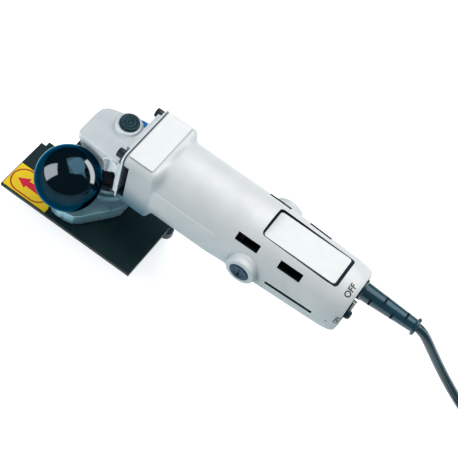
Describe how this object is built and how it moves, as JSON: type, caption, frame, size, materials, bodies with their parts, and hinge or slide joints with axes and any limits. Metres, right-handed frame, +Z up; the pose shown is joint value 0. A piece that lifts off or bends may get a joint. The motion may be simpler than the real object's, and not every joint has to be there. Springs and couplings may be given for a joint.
{
  "type": "portable deburring machine",
  "caption": "Hand-held electric edge deburring machine: barrel motor, right-angle gear head, cone cutter in a flat guide plate, side guide, ball handle, mains cord with plug.",
  "frame": {"origin": "where the spindle axis meets the lower edge of the side guide, the object's lowest level", "axes": "+X along the motor axis towards the cord, +Y away from the ball handle, +Z up along the spindle"},
  "size_m": [0.6783, 0.1529, 0.1398],
  "materials": {
    "housing_paint": "satin silver-grey paint on a cast housing",
    "head_casting": "fine-blasted aluminium casting, slightly darker than the housing",
    "cast_aluminium": "machined cast aluminium with softened edges",
    "black_plate": "black oxide steel, flat and slightly glossy",
    "black_gloss": "polished black thermoset ball",
    "black_plastic": "black moulded plastic",
    "black_rubber": "satin black PVC and rubber",
    "steel": "ground steel",
    "dark_steel": "black-oxide steel",
    "chrome": "bright chrome",
    "brass": "plain brass",
    "copper": "enamelled copper",
    "carbon": "pressed carbon",
    "white_plate": "blank white plate",
    "label_yellow": "yellow label with a plain red arrow in a ring"
  },
  "bodies": {
    "motor_unit": {"motor_housing": "housing_paint", "nameplate": "white_plate", "head_plate": "white_plate", "gear_housing": "head_casting", "bearing_neck": "dark_steel", "flange_screw_1": "dark_steel", "flange_screw_2": "dark_steel", "flange_screw_3": "dark_steel", "flange_screw_4": "dark_steel", "field_core": "dark_steel", "field_coil_front": "copper", "field_coil_rear": "copper", "brush_holder_near": "brass", "brush_holder_far": "brass", "carbon_brush_near": "carbon", "carbon_brush_far": "carbon", "brush_spring_near": "steel", "brush_spring_far": "steel", "brush_cap_near": "black_plastic", "brush_cap_far": "black_plastic", "switch_body": "black_plastic", "strain_relief": "black_rubber", "cord": "black_rubber", "cord_coil": "black_rubber", "plug_body": "black_rubber", "plug_blade_1": "brass", "plug_blade_2": "brass", "front_bearing": "steel", "rear_bearing": "steel", "spindle_bearing_upper": "steel", "spindle_bearing_lower": "steel"},
    "armature": {"armature_shaft": "steel", "armature_core": "dark_steel", "commutator": "copper", "fan": "black_plastic", "pinion": "steel"},
    "spindle": {"spindle": "steel", "crown_gear": "steel", "cutter_head": "dark_steel", "cutter_insert_1": "brass", "cutter_insert_2": "brass", "cutter_screw": "dark_steel"},
    "lock": {"lock_button": "black_plastic", "lock_pin": "steel", "lock_spring": "steel"},
    "lever": {"switch_lever": "chrome", "switch_tip": "black_plastic"},
    "base": {"base_casting": "cast_aluminium", "ball_knob": "black_gloss", "ball_stud": "steel", "guide_plate": "black_plate", "direction_label": "label_yellow", "casting_screw_1": "dark_steel", "casting_screw_2": "dark_steel"},
    "height_clamp": {"base_clamp_screw": "dark_steel"},
    "ring": {"depth_ring": "cast_aluminium"},
    "guide": {"side_guide": "black_plate"},
    "knob_1": {"clamp_knob_1": "black_plastic"},
    "knob_2": {"clamp_knob_2": "black_plastic"}
  },
  "joints": [
    {"name": "armature_spin", "type": "hinge", "parent": "motor_unit", "child": "armature", "pos_m": [0.1, 0, 0.105], "axis": [1, 0, 0], "continuous": true},
    {"name": "spindle_spin", "type": "hinge", "parent": "motor_unit", "child": "spindle", "pos_m": [0, 0, 0.06], "axis": [0, 0, 1], "continuous": true},
    {"name": "lock_press", "type": "slide", "parent": "motor_unit", "child": "lock", "axis": [0, 0, 1], "range_m": [-0.0025, 0], "stiffness_N_per_m": 900, "springref_m": 0.001, "deforming": ["lock_spring"]},
    {"name": "switch_turn", "type": "hinge", "parent": "motor_unit", "child": "lever", "pos_m": [0.2445, 0, 0.108], "axis": [1, 0, 0], "range_deg": [-80, 0]},
    {"name": "base_height", "type": "slide", "parent": "motor_unit", "child": "base", "axis": [0, 0, 1], "range_m": [-0.004, 0.002]},
    {"name": "ring_turn", "type": "hinge", "parent": "base", "child": "ring", "pos_m": [0, 0, 0.05], "axis": [0, 0, 1], "range_deg": [-725, 365]},
    {"name": "height_clamp_turn", "type": "hinge", "parent": "base", "child": "height_clamp", "pos_m": [0, 0.03, 0.0375], "axis": [0, 1, 0], "range_deg": [-180, 180]},
    {"name": "guide_shift", "type": "slide", "parent": "base", "child": "guide", "axis": [0, 1, 0], "range_m": [-0.003, 0.003]},
    {"name": "knob_1_turn", "type": "hinge", "parent": "base", "child": "knob_1", "pos_m": [-0.038, 0.012, 0.02], "axis": [0, 0, 1], "range_deg": [-180, 180]},
    {"name": "knob_2_turn", "type": "hinge", "parent": "base", "child": "knob_2", "pos_m": [0.0675, 0.003, 0.02], "axis": [0, 0, 1], "range_deg": [-180, 180]}
  ],
  "couplings": [
    {"joint": "spindle_spin", "follows": "armature_spin", "ratio": 0.41667},
    {"joint": "ring_turn", "follows": "base_height", "rad_per_m": 3141.6}
  ]
}
